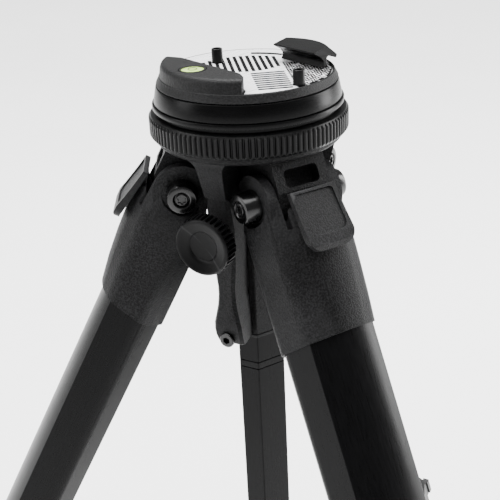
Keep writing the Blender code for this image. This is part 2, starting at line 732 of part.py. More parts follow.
def main():
    clear_scene()
    parts = make_collection("travel_tripod")
    materials = {name: make_material(name, *values) for name, values in finishes().items()}
    builder = Builder(parts, materials)
    root = empty("tripod_axis", Matrix.Identity(4))
    build_head(builder, root)
    build_apex(builder, root)
    build_column(builder, root)
    build_legs(builder, root)
    bpy.context.view_layer.update()
    corners = [o.matrix_world @ v.co for o in parts.objects for v in o.data.vertices]
    middle = [(min(c[i] for c in corners) + max(c[i] for c in corners)) / 2 for i in range(2)]
    root.location = (-middle[0], -middle[1], -min(c.z for c in corners))


main()
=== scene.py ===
"""Looks of the travel tripod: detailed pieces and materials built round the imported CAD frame.

Meshes are built in millimetres, in the same local frames as the CAD: the head's and the
apex's frame stands on the tripod's axis with level 0 at the lock ring's top, the platform's
frame is that one turned to the crescent's wall, and a leg's frame has its origin on the
pivot, +X out of the leg's outer face, +Y along the pivot and +Z up the leg.
"""
import json
import math

import bmesh
import bpy
from mathutils import Matrix, Vector


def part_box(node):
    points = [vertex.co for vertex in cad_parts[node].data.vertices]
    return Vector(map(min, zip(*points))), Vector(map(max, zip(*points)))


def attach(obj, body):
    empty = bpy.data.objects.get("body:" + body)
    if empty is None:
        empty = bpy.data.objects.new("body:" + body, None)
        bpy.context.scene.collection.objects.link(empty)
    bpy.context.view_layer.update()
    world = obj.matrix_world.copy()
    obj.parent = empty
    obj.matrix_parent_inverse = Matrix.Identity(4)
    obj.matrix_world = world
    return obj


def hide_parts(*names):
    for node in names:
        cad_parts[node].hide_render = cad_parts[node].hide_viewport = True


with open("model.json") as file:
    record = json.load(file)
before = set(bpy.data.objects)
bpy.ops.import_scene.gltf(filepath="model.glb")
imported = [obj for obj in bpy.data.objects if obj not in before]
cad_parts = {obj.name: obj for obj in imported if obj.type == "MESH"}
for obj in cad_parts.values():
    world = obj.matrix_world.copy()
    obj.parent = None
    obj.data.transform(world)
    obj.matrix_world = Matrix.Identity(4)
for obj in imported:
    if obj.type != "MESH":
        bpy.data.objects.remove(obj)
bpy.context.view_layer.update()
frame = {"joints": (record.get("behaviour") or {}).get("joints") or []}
JOINTS = {joint["name"]: joint for joint in frame["joints"]}
MM = 0.001
GAP = 0.3                       # room between neighbouring pieces
WELD = 0.000002                 # points closer than this, in metres, become one
FLAT = 0.02                     # faces within this angle, in degrees, become one
SIDES = ("left", "right", "back")

# Head
RING_R = 38.0
RING_H = 8.9
RING_BORE = 33.3
KNURLS = 108
DRUM_LOW_Z = 3.9
DRUM_TOP_Z = 10.2
PLATE_Z = 13.6
CREST_Z = 18.7
CREST_WALL = 16.6
CREST_END = 24.4
PIN_SPOTS = ((-17.5, 0.0), (29.4, -0.4))
PIN_H = 5.5
PIN_HOLE_R = 2.5
PIN_POCKET_R = 2.7
JAW_SPAN = (-2.0, 20.9)
JAW_BOW = 3.6
JAW_STATIONS = 28
VIAL = (-1.0, -24.2)
VIAL_BORE_R = 5.3

# Top plate
PLATE_R = 32.0
PLATE_SEAT_R = 32.3
SLOT_TURN = -33.0               # direction of the slots in the platform's frame, in degrees
SLOT_COUNT = 12
SLOT_PITCH = 2.5
SLOT_W = 1.4
LINE_COUNT = 9
LINE_PITCH = 2.7
LINE_W = 1.85
GROOVE_DEPTH = 0.4
INLAY_FIT = 0.03                # room at each side of an inlay
INLAY_SINK = 0.06
GRIP_SINK = 0.22
STUD_ROWS, STUD_COLUMNS = 40, 20
STUD_PITCH = 2.0
STUD_R = 0.32
STUD_TOP_SINK = 0.10

# Apex and column
APEX_TOP_Z = -9.2
SLEEVE_LOW_Z = -92.0
KNOB_FACE_R = 41.1
KNOB_Z = -42.4
KNOB_AZ = -120.0
SCREW_X = 26.4
SCREW_Z = SLEEVE_LOW_Z + 3.6
LUG_HALF = 11.4
PIVOT_BORE_R = 4.3
COLUMN_WIDE = 8.7
COLUMN_NARROW = 9.9
COLUMN_LOW_Z = -270.0
BAND_TOP_Z = -107.3
BAND_H = 3.0

# Legs
EAR_R = 11.2
EAR_SPAN = (12.0, 15.8)
COLLAR_LOW_Z = -55.0
STAR_BOLT_Y = 21.1
TUBE_WALL = 1.4
TUBE_STEP = 1.8
OUTER_TOP_Z = -20.4
MIDDLE_TOP_Z = -90.0
LOWER_TOP_Z = -120.0
TUBE_INTO_CLAMP = 11.3          # a tube's lower end above its clamp's lower face
UPPER_CLAMP = (-336.0, -308.0)
LOWER_CLAMP = (-366.0, -340.0)
LEVER_HINGE = (14.3, 11.5)
FOOT_TOP_Z = -370.0
FOOT_LOW_Z = -394.0

# Stands a plan upright: its X runs along Y, its Y along Z and its thickness along X
FACING_X = Matrix(((0, 0, 1, 0), (1, 0, 0, 0), (0, 1, 0, 0), (0, 0, 0, 1)))


# ---------------------------------------------------------------- local frames

def axes_frame(origin, x_axis, y_axis, z_axis):
    """A matrix in metres from three axes."""
    turn = Matrix((x_axis, y_axis, z_axis)).transposed().to_4x4()
    return Matrix.Translation(origin) @ turn


def head_frame():
    """On the tripod's axis, at the top of the lock ring."""
    low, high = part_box("lock_ring")
    return Matrix.Translation(((low.x + high.x) / 2, (low.y + high.y) / 2, high.z))


def platform_frame():
    """The head's frame, turned so that +Y is the way the jaw slides."""
    y_axis = Vector(JOINTS["jaw_slide"]["axis"]).normalized()
    up = Vector((0, 0, 1))
    return axes_frame(head_frame().translation, y_axis.cross(up), y_axis, up)


def leg_frame(side):
    """On a leg's pivot: +X out of its outer face, +Y along the pivot and +Z up the leg."""
    up = -Vector(JOINTS[f"extend_middle_{side}"]["axis"]).normalized()
    y_axis = -Vector(JOINTS[f"leg_swing_{side}"]["axis"]).normalized()
    return axes_frame(Vector(JOINTS[f"leg_swing_{side}"]["pos_m"]), y_axis.cross(up), y_axis, up)


HEAD = head_frame()
PLATFORM = platform_frame()
LEG = {side: leg_frame(side) for side in SIDES}


# ---------------------------------------------------------------- node materials

class Nodes:
    """Short calls for building one material's node tree."""

    def __init__(self, name):
        self.material = bpy.data.materials.new(name)
        self.material.use_nodes = True
        self.tree = self.material.node_tree
        self.shader = self.tree.nodes["Principled BSDF"]
        self.coordinates = self.tree.nodes.new("ShaderNodeTexCoord").outputs["Object"]

    def link(self, source, target):
        self.tree.links.new(source, target)

    def stretched(self, scale):
        node = self.tree.nodes.new("ShaderNodeMapping")
        node.inputs["Scale"].default_value = scale
        self.link(self.coordinates, node.inputs["Vector"])
        return node.outputs["Vector"]

    def noise(self, scale, detail=4.0, roughness=0.55, vector=None):
        node = self.tree.nodes.new("ShaderNodeTexNoise")
        node.inputs["Scale"].default_value = scale
        node.inputs["Detail"].default_value = detail
        node.inputs["Roughness"].default_value = roughness
        self.link(vector or self.coordinates, node.inputs["Vector"])
        return node.outputs["Fac"]

    def spread(self, value, low, high, from_low=0.35, from_high=0.65):
        node = self.tree.nodes.new("ShaderNodeMapRange")
        node.inputs["From Min"].default_value = from_low
        node.inputs["From Max"].default_value = from_high
        node.inputs["To Min"].default_value = low
        node.inputs["To Max"].default_value = high
        self.link(value, node.inputs["Value"])
        return node.outputs["Result"]

    def edges(self):
        """Near 1 on sharp outer edges, 0.5 on flat faces and lower in creases."""
        return self.tree.nodes.new("ShaderNodeNewGeometry").outputs["Pointiness"]

    def ramp(self, value, stops):
        node = self.tree.nodes.new("ShaderNodeValToRGB")
        ramp = node.color_ramp
        while len(ramp.elements) < len(stops):
            ramp.elements.new(0.5)
        for element, (position, color) in zip(ramp.elements, stops):
            element.position = position
            element.color = (*color, 1.0)
        self.link(value, node.inputs["Fac"])
        return node.outputs["Color"]

    def mix(self, factor, first, second, blend="MIX"):
        """A mix of two colours or values, each a constant or a socket."""
        node = self.tree.nodes.new("ShaderNodeMix")
        node.data_type = "RGBA"
        node.blend_type = blend
        for socket, value in ((node.inputs["Factor"], factor), (node.inputs[6], first),
                              (node.inputs[7], second)):
            if isinstance(value, tuple):
                socket.default_value = (*value, 1.0)
            elif isinstance(value, float):
                socket.default_value = value
            else:
                self.link(value, socket)
        return node.outputs[2]

    def bump(self, height, distance):
        node = self.tree.nodes.new("ShaderNodeBump")
        node.inputs["Distance"].default_value = distance
        node.inputs["Strength"].default_value = 1.0
        self.link(height, node.inputs["Height"])
        return node.outputs["Normal"]

    def finish(self, color, roughness, normal=None, **values):
        self.link(color, self.shader.inputs["Base Color"])
        self.link(roughness, self.shader.inputs["Roughness"])
        if normal:
            self.link(normal, self.shader.inputs["Normal"])
        for name, value in values.items():
            self.shader.inputs[name.replace("_", " ")].default_value = value
        return self.material


def black_finish(name, tone, rough, grain, depth, wear, stretch=(1, 1, 1), speck=0.5, **values):
    """A black surface with slow tone drift, speckled grain in relief and paler worn edges."""
    n = Nodes(name)
    along = n.stretched(stretch)
    drift = n.noise(45.0, 5.0, vector=along)
    fine = n.noise(grain, 3.0, 0.6, vector=along)
    dark, light = tuple(c * 0.7 for c in tone), tuple(c * 1.35 for c in tone)
    base = n.ramp(drift, [(0.3, dark), (0.7, light)])
    grains = n.ramp(fine, [(0.40, (0.12, 0.12, 0.12)), (0.62, (1.0, 1.0, 1.0))])
    base = n.mix(speck, base, grains, "MULTIPLY")
    worn = n.spread(n.edges(), 0.0, wear, 0.53, 0.64)
    base = n.mix(worn, base, (0.30, 0.30, 0.31))
    roughness = n.mix(0.35, n.spread(fine, rough * 0.85, rough * 1.15),
                      n.spread(drift, rough * 0.8, rough * 1.2))
    return n.finish(base, roughness, n.bump(fine, depth), **values)


def metal_finish(name, tone, rough, grain, depth, stretch, metallic):
    """Bright machined metal with slow tone drift, fine grain and painted shade darkening its creases."""
    n = Nodes(name)
    along = n.stretched(stretch)
    drift = n.noise(60.0, 5.0, vector=along)
    fine = n.noise(grain, 4.0, 0.65, vector=along)
    base = n.ramp(drift, [(0.3, tuple(c * 0.86 for c in tone)), (0.7, tone)])
    # painted shade: the colour turns near black in concave creases, where shade falls
    crease_shade = n.spread(n.edges(), 0.5, 0.0, 0.40, 0.49)
    base = n.mix(crease_shade, base, (0.03, 0.03, 0.03))
    roughness = n.spread(fine, rough * 0.75, rough * 1.25)
    return n.finish(base, roughness, n.bump(fine, depth), Metallic=metallic)


def knurl_finish():
    """Blackened grip surface with a bright metal speckle in relief."""
    n = Nodes("plate_knurl")
    flake = n.noise(720.0, 2.0, 0.45, vector=n.stretched((1, 1.6, 1)))
    base = n.ramp(flake, [(0.56, (0.004, 0.004, 0.004)), (0.64, (0.60, 0.60, 0.61))])
    return n.finish(base, n.spread(flake, 0.55, 0.40), n.bump(flake, 0.00012), Metallic=0.2,
                    Specular_IOR_Level=0.0)


def vial_finish():
    """The level's yellow-green liquid under a glossy coat."""
    n = Nodes("vial_liquid")
    swirl = n.noise(300.0)
    base = n.ramp(swirl, [(0.3, (0.42, 0.66, 0.10)), (0.7, (0.60, 0.82, 0.24))])
    return n.finish(base, n.spread(swirl, 0.08, 0.16), n.bump(swirl, 0.00002), Coat_Weight=0.8)


# Each finish: its name, tone, roughness, grain scale, relief in metres and wear on the edges
MATERIALS = {
    "tube": black_finish("leg_satin", (0.0016, 0.0016, 0.0018), 0.30, 1800.0, 0.000014, 0.01,
                         stretch=(1, 1, 0.08), Specular_IOR_Level=0.07),
    "casting": black_finish("casting_textured", (0.0100, 0.0100, 0.0104), 0.48, 1500.0, 0.00034, 0.015,
                            speck=1.0, Specular_IOR_Level=0.07),
    "ring": black_finish("ring_anodised", (0.0012, 0.0012, 0.0013), 0.34, 2200.0, 0.00003, 0.03,
                         Specular_IOR_Level=0.10),
    "drum": black_finish("drum_anodised", (0.0012, 0.0012, 0.0013), 0.28, 2600.0, 0.000012, 0.01,
                         stretch=(1, 1, 6), Specular_IOR_Level=0.08),
    "cap": black_finish("cap_moulded", (0.0074, 0.0074, 0.0077), 0.46, 1500.0, 0.00024, 0.01,
                        speck=0.8, Specular_IOR_Level=0.12),
    "knob": black_finish("knob_anodised", (0.0013, 0.0013, 0.0014), 0.38, 2400.0, 0.00003, 0.03,
                         Specular_IOR_Level=0.08),
    "tab": black_finish("tab_textured", (0.0110, 0.0110, 0.0114), 0.42, 1600.0, 0.00018, 0.05,
                        speck=0.8, Specular_IOR_Level=0.10),
    "plastic": black_finish("clamp_moulded", (0.0035, 0.0035, 0.0037), 0.46, 1500.0, 0.00010, 0.03,
                            Specular_IOR_Level=0.12),
    "rubber": black_finish("foot_rubber", (0.0040, 0.0040, 0.0040), 0.80, 900.0, 0.00016, 0.01,
                           Specular_IOR_Level=0.15),
    "blacksteel": black_finish("bolt_blackened", (0.0012, 0.0012, 0.0013), 0.22, 2200.0, 0.00001, 0.01,
                               Specular_IOR_Level=0.35),
    "silver": metal_finish("plate_machined", (0.95, 0.95, 0.96), 0.30, 1600.0, 0.000006, (1, 0.1, 1), 0.3),
    "inlay": black_finish("plate_inlay", (0.012, 0.012, 0.0125), 0.60, 1500.0, 0.00003, 0.0,
                          Specular_IOR_Level=0.0),
    "knurl": knurl_finish(),
    "vial": vial_finish(),
}


# ---------------------------------------------------------------- outlines

def arc(radius, start, end, steps, centre=(0.0, 0.0)):
    span = [math.radians(start + (end - start) * i / steps) for i in range(steps + 1)]
    return [(centre[0] + radius * math.cos(a), centre[1] + radius * math.sin(a)) for a in span]


def offset_outline(points, distance):
    """A convex anticlockwise outline moved outward by a distance."""
    count = len(points)
    result = []
    for i in range(count):
        before = Vector(points[i - 1])
        here = Vector(points[i])
        after = Vector(points[(i + 1) % count])
        first = (here - before).normalized()
        second = (after - here).normalized()
        normal_a = Vector((first.y, -first.x))
        normal_b = Vector((second.y, -second.x))
        middle = (normal_a + normal_b).normalized()
        result.append(tuple(here + middle * (distance / middle.dot(normal_a))))
    return result


def rounded(points, radii, steps=6):
    """An outline whose corners are rounded; a radius of 0 keeps the corner."""
    count = len(points)
    result = []
    for i in range(count):
        here = Vector(points[i])
        if radii[i] <= 0:
            result.append(tuple(here))
            continue
        back = (Vector(points[i - 1]) - here).normalized()
        ahead = (Vector(points[(i + 1) % count]) - here).normalized()
        half = back.angle(ahead) / 2
        centre = here + (back + ahead).normalized() * (radii[i] / math.sin(half))
        start = here + back * (radii[i] / math.tan(half)) - centre
        turn = -math.copysign(math.pi - 2 * half, back.x * ahead.y - back.y * ahead.x)
        for k in range(steps + 1):
            result.append(tuple(centre + Matrix.Rotation(turn * k / steps, 2) @ start))
    return result


def leg_outline(grow=0.0):
    """Cross-section of the leg tube, moved outward by grow.

    The narrow inner ones get a coarser bow, whose points can't cross over.
    """
    steps = 18 if grow > -2.5 else 8
    crease_x, crease_y, apex_x = 7.5, 14.3, 11.3
    rise = apex_x - crease_x
    radius = (crease_y ** 2 + rise ** 2) / (2 * rise)
    half = math.degrees(math.asin(crease_y / radius))
    bow = arc(radius, -half, half, steps, (apex_x - radius, 0.0))
    outline = offset_outline(bow + [(-6.4, 18.8), (-14.8, 9.2), (-14.8, -9.2), (-6.4, -18.8)], grow)
    soft, tight = max(1.0, 5.0 + grow), max(0.5, 2.0 + grow)
    crease = [0.6] + [0.0] * (len(bow) - 2) + [0.6]
    return rounded(outline, crease + [soft, tight, tight, soft])


def column_outline(grow=0.0):
    """The column's six-sided section, with wide and narrow faces in turn, moved outward by grow."""
    spots = []
    for i in range(6):
        first = COLUMN_NARROW if i % 2 == 0 else COLUMN_WIDE
        second = COLUMN_WIDE if i % 2 == 0 else COLUMN_NARROW
        a = math.radians(60 * i)
        b = math.radians(60 * (i + 1))
        det = math.sin(b - a)
        x = ((first + grow) * math.sin(b) - (second + grow) * math.sin(a)) / det
        y = ((second + grow) * math.cos(a) - (first + grow) * math.cos(b)) / det
        spots.append((x, y))
    return rounded(spots, [0.8] * 6, 4)


# ---------------------------------------------------------------- meshes, in millimetres

def finish_mesh(bm, name):
    bmesh.ops.recalc_face_normals(bm, faces=bm.faces)
    mesh = bpy.data.meshes.new(name)
    bm.to_mesh(mesh)
    bm.free()
    return mesh


def loft(rings):
    """A skin over rings of points that all have the same count, closed at both ends."""
    bm = bmesh.new()
    rows = [[bm.verts.new(p) for p in ring] for ring in rings]
    count = len(rows[0])
    for lower, upper in zip(rows, rows[1:]):
        for i in range(count):
            j = (i + 1) % count
            bm.faces.new((lower[i], lower[j], upper[j], upper[i]))
    bm.faces.new(rows[0][::-1])
    bm.faces.new(rows[-1])
    return finish_mesh(bm, "loft")


def prism(outline, low, high):
    return loft([[(x, y, low) for x, y in outline], [(x, y, high) for x, y in outline]])


def lathe(profile, steps=160, ribs=0, wave=None):
    """A closed (radius, height[, rib depth]) profile turned about Z, with ribs where it has depth."""
    steps = ribs * len(wave) if ribs else steps
    bm = bmesh.new()
    rows = []
    for point in profile:
        radius, level = point[0], point[1]
        depth = point[2] if len(point) > 2 else 0.0
        if radius <= 1e-6:
            rows.append([bm.verts.new((0, 0, level))] * steps)
            continue
        row = []
        for i in range(steps):
            angle = 2 * math.pi * i / steps
            reach = radius - (depth * wave[i % len(wave)] if ribs else 0.0)
            row.append(bm.verts.new((reach * math.cos(angle), reach * math.sin(angle), level)))
        rows.append(row)
    for lower, upper in zip(rows, rows[1:] + rows[:1]):
        if lower[0] is lower[1] and upper[0] is upper[1]:
            continue
        for i in range(steps):
            j = (i + 1) % steps
            corners = []
            for vert in (lower[i], lower[j], upper[j], upper[i]):
                if vert not in corners:
                    corners.append(vert)
            bm.faces.new(corners)
    return finish_mesh(bm, "lathe")


def cylinder(radius, start, end, steps=64):
    start, end = Vector(start), Vector(end)
    bm = bmesh.new()
    bmesh.ops.create_cone(bm, cap_ends=True, segments=steps, radius1=radius, radius2=radius,
                          depth=(end - start).length)
    turn = Vector((0, 0, 1)).rotation_difference(end - start).to_matrix().to_4x4()
    bm.transform(Matrix.Translation((start + end) / 2) @ turn)
    return finish_mesh(bm, "cylinder")


def block(low, high):
    low, high = Vector(low), Vector(high)
    bm = bmesh.new()
    bmesh.ops.create_cube(bm, size=1.0)
    bm.transform(Matrix.Translation((low + high) / 2) @ Matrix.Diagonal((*(high - low), 1.0)))
    return finish_mesh(bm, "block")


def moved(mesh, matrix):
    mesh.transform(matrix)
    if matrix.determinant() < 0:
        mesh.flip_normals()
    return mesh


def turned(mesh, degrees, axis="Z"):
    return moved(mesh, Matrix.Rotation(math.radians(degrees), 4, axis))


def shifted(mesh, offset):
    return moved(mesh, Matrix.Translation(offset))


def side_prism(outline, low, high):
    """An outline of (x, z) points, extruded along Y."""
    return turned(prism([(x, -z) for x, z in outline], low, high), -90, "X")


def combine(mesh, tool, operation):
    base = bpy.data.objects.new("base", mesh)
    other = bpy.data.objects.new("tool", tool)
    for obj in (base, other):
        bpy.context.scene.collection.objects.link(obj)
    modifier = base.modifiers.new(operation, "BOOLEAN")
    modifier.operation = operation
    modifier.object = other
    modifier.solver = "EXACT"
    graph = bpy.context.evaluated_depsgraph_get()
    result = bpy.data.meshes.new_from_object(base.evaluated_get(graph))
    for obj in (base, other):
        bpy.data.objects.remove(obj)
    return result


def join(mesh, *tools):
    for tool in tools:
        mesh = combine(mesh, tool, "UNION")
    return mesh


def cut(mesh, *tools):
    for tool in tools:
        mesh = combine(mesh, tool, "DIFFERENCE")
    return mesh


def keep(mesh, tool):
    return combine(mesh, tool, "INTERSECT")


def together(*meshes):
    """Separate shells in one mesh."""
    bm = bmesh.new()
    for mesh in meshes:
        bm.from_mesh(mesh)
    result = bpy.data.meshes.new("together")
    bm.to_mesh(result)
    bm.free()
    return result


def copies_round(mesh, angles):
    return [turned(mesh.copy(), angle) for angle in angles]


# ---------------------------------------------------------------- placing

DONE = {}                       # finished meshes, so that repeated pieces share one


def place(name, mesh, material, matrix, body, replaces=(), bevel=0.0, segments=2, angle=28, sharp=28,
          baked=False):
    """One visible piece: bevelled, smooth-shaded and riding on its body.

    A baked piece has its place in its mesh, which keeps its bounding box tight.
    """
    key = (mesh.name, tuple(matrix.translation) if baked else None)
    if key not in DONE:
        ready = mesh.copy()
        ready.transform(matrix @ Matrix.Scale(MM, 4) if baked else Matrix.Scale(MM, 4))
        bm = bmesh.new()
        bm.from_mesh(ready)
        bmesh.ops.remove_doubles(bm, verts=bm.verts, dist=WELD)
        bmesh.ops.dissolve_degenerate(bm, edges=bm.edges, dist=WELD)
        bmesh.ops.dissolve_limit(bm, angle_limit=math.radians(FLAT), verts=bm.verts, edges=bm.edges)
        bm.to_mesh(ready)
        bm.free()
        ready.materials.clear()
        ready.materials.append(MATERIALS[material])
        ready.shade_smooth()
        ready.set_sharp_from_angle(angle=math.radians(min(sharp, angle)))
        DONE[key] = ready
    obj = bpy.data.objects.new(name, DONE[key])
    bpy.context.scene.collection.objects.link(obj)
    obj.matrix_world = Matrix.Identity(4) if baked else matrix
    if bevel:
        soften = obj.modifiers.new("soft_edges", "BEVEL")
        soften.width = bevel * MM
        soften.segments = segments
        soften.limit_method = "ANGLE"
        soften.angle_limit = math.radians(angle)
        soften.harden_normals = True
        soften.miter_outer = "MITER_ARC"
        weigh = obj.modifiers.new("even_normals", "WEIGHTED_NORMAL")
        weigh.keep_sharp = sharp < angle
    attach(obj, body)
    if replaces:
        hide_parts(*replaces)


# ---------------------------------------------------------------- head

def build_head():
    wave = (0.0, 0.0, 0.15, 1.0, 1.0, 0.15)
    ring = lathe([
        (RING_BORE, 0.0), (36.3, 0.0), (37.1, -0.35), (37.35, -0.7, 0.0), (RING_R, -1.5, 0.75),
        (RING_R, -7.7, 0.75), (37.5, -8.25, 0.1), (37.3, -8.6), (36.9, -RING_H), (RING_BORE, -RING_H),
    ], ribs=KNURLS, wave=wave)
    place("knurled_ring", ring, "ring", HEAD, "pan_lock", ["lock_ring"], angle=40)

    index = lathe([
        (22.0, GAP), (34.8, GAP), (34.8, 1.7), (35.9, 1.7), (36.2, 1.85), (36.3, 2.1), (36.3, 3.2),
        (36.15, 3.5), (35.9, 3.6), (22.0, 3.6),
    ])
    place("smooth_ledge", index, "drum", HEAD, "platform", ["index_ring"])

    top = DRUM_TOP_Z
    drum = lathe([
        (20.6, DRUM_LOW_Z), (35.3, DRUM_LOW_Z), (35.55, DRUM_LOW_Z + 0.12), (35.6, DRUM_LOW_Z + 0.35),
        (35.1, 6.6), (34.55, top - 0.7), (34.3, top - 0.2), (34.0, top), (20.6, top),
    ])
    drum = cut(drum, pin_holes(PIN_POCKET_R, 7.0, 20.0)[1])
    place("drum_band", drum, "drum", PLATFORM, "platform", ["platform_drum"])

    foot = DRUM_TOP_Z + GAP
    low = lathe([(0.0, foot), (33.8, foot), (34.1, foot + 0.1), (34.2, foot + 0.4), (33.2, PLATE_Z - 0.8),
                 (33.0, PLATE_Z - 0.25), (32.7, PLATE_Z), (0.0, PLATE_Z)])
    crest = lathe([(0.0, foot + 1.0), (33.3, foot + 1.0), (32.7, PLATE_Z), (32.2, CREST_Z - 1.8),
                   (31.8, CREST_Z - 0.9), (31.1, CREST_Z - 0.3), (30.2, CREST_Z), (0.0, CREST_Z)])
    crest = keep(crest, crest_side())
    seat = cylinder(PLATE_SEAT_R, (0, 0, PLATE_Z - 2.2), (0, 0, PLATE_Z + 9), 160)
    cap = cut(join(low, crest), cut(seat, crest_side(-0.3)), *pin_holes(PIN_HOLE_R, 5, 25),
              cylinder(VIAL_BORE_R, (*VIAL, CREST_Z - 3.4), (*VIAL, CREST_Z + 2), 64))
    place("round_cap", cap, "cap", PLATFORM, "platform", ["platform_cap"], bevel=0.5, segments=3)

    build_plate()
    build_jaw()
    tube = lathe([(0.0, -3.0), (4.9, -3.0), (4.9, -0.35), (4.75, -0.1), (4.3, -0.05), (4.1, -0.25),
                  (3.4, -0.1), (0.0, 0.1)], 64)
    place("level_vial", shifted(tube, (*VIAL, CREST_Z)), "vial", PLATFORM, "platform", ["bubble_vial"])
    rim = lathe([(4.15, -0.3), (5.0, -0.3), (5.0, 0.0), (4.8, 0.15), (4.3, 0.15), (4.15, 0.0)], 64)
    place("level_rim", shifted(rim, (*VIAL, CREST_Z)), "cap", PLATFORM, "platform")
    circle = lathe([(1.5, 0.08), (1.75, 0.08), (1.75, 0.14), (1.5, 0.14)], 48)
    place("level_circle", shifted(circle, (*VIAL, CREST_Z)), "blacksteel", PLATFORM, "platform")

    pin = lathe([(0.0, -1.0), (2.15, -1.0), (2.15, PIN_H - 0.5), (2.05, PIN_H - 0.15), (1.85, PIN_H),
                 (1.55, PIN_H), (1.35, PIN_H - 0.2), (1.3, PIN_H - 1.6), (0.0, PIN_H - 1.6)], 48)
    for number, (x, y) in enumerate(PIN_SPOTS, 1):
        spot = PLATFORM @ Matrix.Translation(Vector((x, y, PLATE_Z)) * MM)
        place(f"locating_pin_{number}", pin, "ring", spot, f"pin_{number}", [f"register_pin_{number}"])
    base = lathe([(0.0, -RING_H), (33.0, -RING_H), (33.0, -0.9), (32.7, -0.6), (0.0, -0.6)])
    place("ring_seat", base, "ring", HEAD, "column", ["head_base"])


def pin_holes(radius, low, high):
    """A cutter at each pin."""
    return [cylinder(radius, (x, y, low), (x, y, high), 32) for x, y in PIN_SPOTS]


def crest_side(inset=0.0):
    """Everything on the crescent's side of its wall, which turns outward at both ends, less inset."""
    plan = [(-60.0, -60.0), (CREST_END + 0.6, -60.0), (CREST_END, -CREST_WALL - 6.0),
            (CREST_END - 2.8, -CREST_WALL - 2.4), (CREST_END - 7.9, -CREST_WALL),
            (-18.0, -CREST_WALL), (-23.5, -CREST_WALL - 2.4), (-60.0, -CREST_WALL - 9.0)]
    return prism(rounded(offset_outline(plan, -inset), [0, 0, 5.0, 4.0, 6.0, 5.0, 6.0, 0]), 0, 60)


def slot_bars(width, low, high, trim=0.0):
    """Bars of the slot field: a row of strips whose ends follow the plate's edge and a low arch."""
    bars = []
    for i in range(SLOT_COUNT):
        across = -15.0 + SLOT_PITCH * i
        start = -math.sqrt(21.8 ** 2 - across ** 2) + trim
        end = 2.7 - 0.035 * (across - 1.0) ** 2 - trim
        bars.append(block((start, across - width / 2, low), (end, across + width / 2, high)))
    return together(*bars)


def line_bars(width, low, high, trim=0.0):
    """Bars of the fine-lined patch, square to the slots."""
    bars = []
    for i in range(LINE_COUNT):
        along = 5.8 + LINE_PITCH * i
        reach = min(13.4, math.sqrt(30.4 ** 2 - along ** 2))
        bars.append(block((along - width / 2, 0.8 + trim, low), (along + width / 2, reach - trim, high)))
    return together(*bars)


def grip_region(radius, inset, low, high):
    """The space of the knurled patch: beside the lined patch, out to the rim."""
    patch = block((-8.0 + inset, 14.6 + inset, low), (40.0, 40.0, high))
    return keep(patch, cylinder(radius, (0, 0, low - 1), (0, 0, high + 1), 96))


def studs(low, high):
    """Blunt four-sided studs on a diagonal grid over the knurled patch, clear of the second pin."""
    pin = Matrix.Rotation(math.radians(-SLOT_TURN), 2) @ Vector(PIN_SPOTS[1])
    bm = bmesh.new()
    for row in range(STUD_ROWS):
        for column in range(STUD_COLUMNS):
            spot = Vector((-7.2 + STUD_PITCH * row / 2, 15.6 + STUD_PITCH * (column + (row % 2) / 2)))
            if spot.length > 31.3 or (spot - pin).length < 3.0:
                continue
            stud = bmesh.ops.create_cone(bm, cap_ends=True, segments=4, radius1=STUD_R,
                                         radius2=STUD_R * 0.35, depth=high - low)
            bmesh.ops.translate(bm, verts=stud["verts"], vec=(*spot, (low + high) / 2))
    return finish_mesh(bm, "studs")


def build_plate():
    """Machined plate with a field of slots, a fine-lined patch and a knurled grip patch."""
    field = Matrix.Rotation(math.radians(SLOT_TURN), 4, "Z")
    plate = cut(cylinder(PLATE_R, (0, 0, PLATE_Z - 1.9), (0, 0, PLATE_Z), 192), crest_side(-0.6),
                *pin_holes(2.4, 0, 30))
    floor = PLATE_Z - GROOVE_DEPTH
    above = PLATE_Z + 1
    for cutter in (grip_region(33.0, 0.0, floor - 0.05, above + 0.1), slot_bars(SLOT_W, floor, above),
                   line_bars(LINE_W, floor, above)):
        plate = cut(plate, moved(cutter, field))
    place("slotted_plate", plate, "silver", PLATFORM, "platform", ["top_plate"], bevel=0.06)
    around = crest_side(-0.7)
    top = PLATE_Z - INLAY_SINK
    fills = (
        ("slot_inlays", slot_bars(SLOT_W - 2 * INLAY_FIT, floor, top, INLAY_FIT), "inlay"),
        ("line_inlays", line_bars(LINE_W - 2 * INLAY_FIT, floor, top, INLAY_FIT), "inlay"),
        ("grip_inlay", grip_region(31.9, 0.1, floor, PLATE_Z - GRIP_SINK), "knurl"),
    )
    for name, mesh, material in fills:
        fill = cut(moved(mesh, field), around.copy(), *pin_holes(PIN_HOLE_R, 0, 30))
        place(name, fill, material, PLATFORM, "platform")
    place("grip_studs", moved(studs(PLATE_Z - GRIP_SINK, PLATE_Z - STUD_TOP_SINK), field), "silver",
          PLATFORM, "platform")
    lip = lathe([(24.0, 0.0), (25.3, 0.0), (25.3, 0.25), (25.1, 0.45), (24.2, 0.45), (24.0, 0.25)], 192)
    wedge = prism([(0, 0)] + arc(40.0, 106, 136, 8), -1, 2)
    place("rear_lip", shifted(keep(lip, wedge), (0, 0, PLATE_Z)), "drum", PLATFORM, "platform", bevel=0.1)


